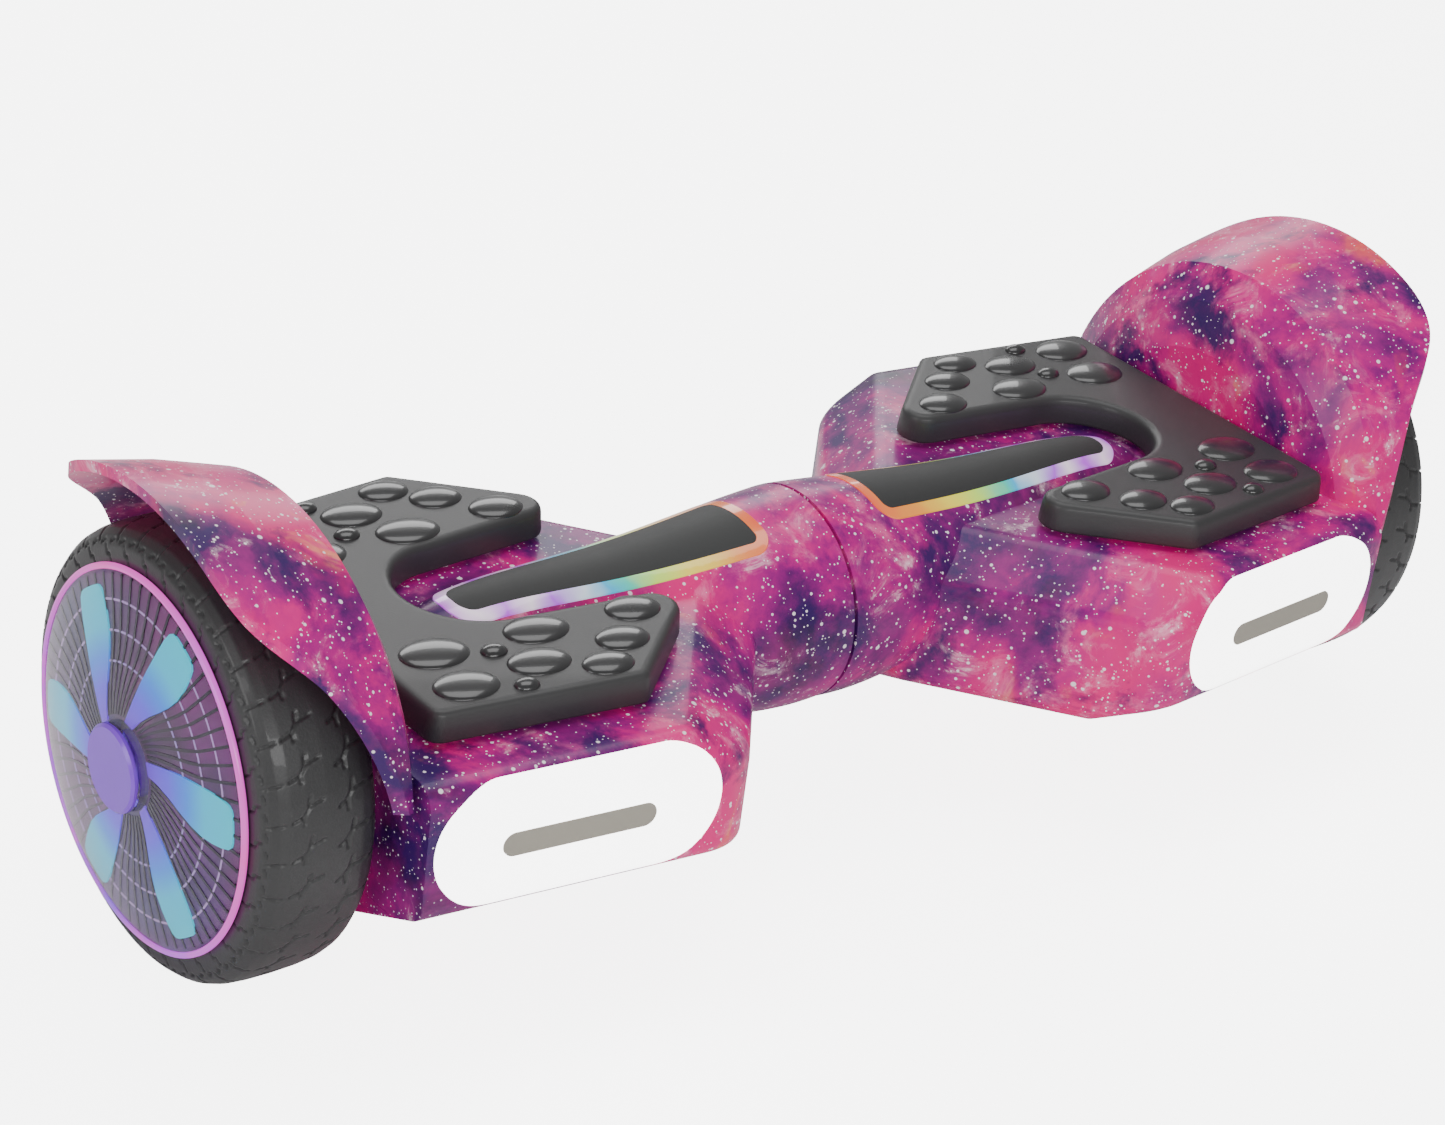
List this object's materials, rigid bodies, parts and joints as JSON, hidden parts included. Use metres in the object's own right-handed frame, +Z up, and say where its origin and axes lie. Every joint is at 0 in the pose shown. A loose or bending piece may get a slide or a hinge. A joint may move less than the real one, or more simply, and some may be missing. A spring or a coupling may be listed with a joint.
{
  "type": "self balancing hoverboard",
  "caption": "Two-wheeled self balancing board with twisting halves, hub motor wheels, fenders, rubber foot pads and front lamps.",
  "frame": {"origin": "on the floor under the middle of the board, between the wheels", "axes": "+X along the board from wheel to wheel, +Y to the back, +Z up; the lamps face -Y"},
  "size_m": [0.596, 0.2188, 0.1885],
  "materials": {
    "galaxy_shell": "gloss",
    "cast_aluminium": "satin",
    "light_ring": "gloss",
    "black_window": "gloss",
    "lamp_lens": "gloss",
    "lamp_insert": "matte",
    "circuit_board": "satin",
    "axle_steel": "satin",
    "screw_steel": "satin",
    "stator_steel": "satin",
    "copper_winding": "satin",
    "rim_aluminium": "satin",
    "bearing_steel": "polished",
    "magnet_metal": "satin",
    "tyre_rubber": "matte",
    "wheel_light": "gloss",
    "purple_cap": "gloss",
    "pad_rubber": "matte",
    "black_plastic": "satin",
    "battery_wrap": "satin",
    "bush_bronze": "satin",
    "cap_rubber": "matte"
  },
  "bodies": {
    "left_half": {"upper_shell_left": "galaxy_shell", "lower_shell_left": "galaxy_shell", "frame_left": "cast_aluminium", "light_ring_left": "light_ring", "status_window_left": "black_window", "headlight_lens_left": "lamp_lens", "headlight_insert_left": "lamp_insert", "gyro_board_left": "circuit_board", "axle_left": "axle_steel", "axle_clamp_left": "cast_aluminium", "clamp_screws_left": "screw_steel", "shell_screws_left": "screw_steel", "stator_left": "stator_steel", "windings_left": "copper_winding", "pivot_tube": "axle_steel", "pivot_circlip": "screw_steel", "stop_pin": "screw_steel", "battery_pack": "battery_wrap"},
    "wheel_left": {"rotor_rim_left": "rim_aluminium", "side_cover_left": "rim_aluminium", "wheel_bearings_left": "bearing_steel", "magnets_left": "magnet_metal", "tyre_left": "tyre_rubber", "light_disc_left": "wheel_light", "wheel_dome_left": "wheel_light", "hub_cap_left": "purple_cap"},
    "foot_pad_left": {"foot_pad_left": "pad_rubber", "pad_plungers_left": "black_plastic"},
    "right_half": {"upper_shell_right": "galaxy_shell", "lower_shell_right": "galaxy_shell", "frame_right": "cast_aluminium", "light_ring_right": "light_ring", "status_window_right": "black_window", "headlight_lens_right": "lamp_lens", "headlight_insert_right": "lamp_insert", "gyro_board_right": "circuit_board", "axle_right": "axle_steel", "axle_clamp_right": "cast_aluminium", "clamp_screws_right": "screw_steel", "shell_screws_right": "screw_steel", "stator_right": "stator_steel", "windings_right": "copper_winding", "pivot_bushes": "bush_bronze", "control_board": "circuit_board", "heat_sink": "rim_aluminium", "speaker": "black_plastic", "charging_port": "black_plastic"},
    "wheel_right": {"rotor_rim_right": "rim_aluminium", "side_cover_right": "rim_aluminium", "wheel_bearings_right": "bearing_steel", "magnets_right": "magnet_metal", "tyre_right": "tyre_rubber", "light_disc_right": "wheel_light", "wheel_dome_right": "wheel_light", "hub_cap_right": "purple_cap"},
    "foot_pad_right": {"foot_pad_right": "pad_rubber", "pad_plungers_right": "black_plastic"},
    "power_button": {"power_button": "black_plastic"},
    "charging_cap": {"charging_cap": "cap_rubber"}
  },
  "joints": [
    {"name": "half_twist", "type": "hinge", "parent": "left_half", "child": "right_half", "pos_m": [0, 0, 0.0825], "axis": [1, 0, 0], "range_deg": [-12, 12]},
    {"name": "wheel_left_spin", "type": "hinge", "parent": "left_half", "child": "wheel_left", "pos_m": [-0.26, 0, 0.0825], "axis": [1, 0, 0], "continuous": true},
    {"name": "wheel_right_spin", "type": "hinge", "parent": "right_half", "child": "wheel_right", "pos_m": [0.26, 0, 0.0825], "axis": [1, 0, 0], "continuous": true},
    {"name": "pad_left_press", "type": "slide", "parent": "left_half", "child": "foot_pad_left", "axis": [0, 0, -1], "range_m": [0, 0.0015], "stiffness_N_per_m": 20000, "springref_m": -0.0003},
    {"name": "pad_right_press", "type": "slide", "parent": "right_half", "child": "foot_pad_right", "axis": [0, 0, -1], "range_m": [0, 0.0015], "stiffness_N_per_m": 20000, "springref_m": -0.0003},
    {"name": "power_button_press", "type": "slide", "parent": "right_half", "child": "power_button", "axis": [-0.098, -0.9952, 0], "range_m": [0, 0.0015], "stiffness_N_per_m": 1000, "springref_m": -0.0005},
    {"name": "charging_cap_open", "type": "hinge", "parent": "right_half", "child": "charging_cap", "pos_m": [0.20417, 0.10255, 0.0896], "axis": [0.9952, -0.098, 0], "range_deg": [0, 110]}
  ]
}
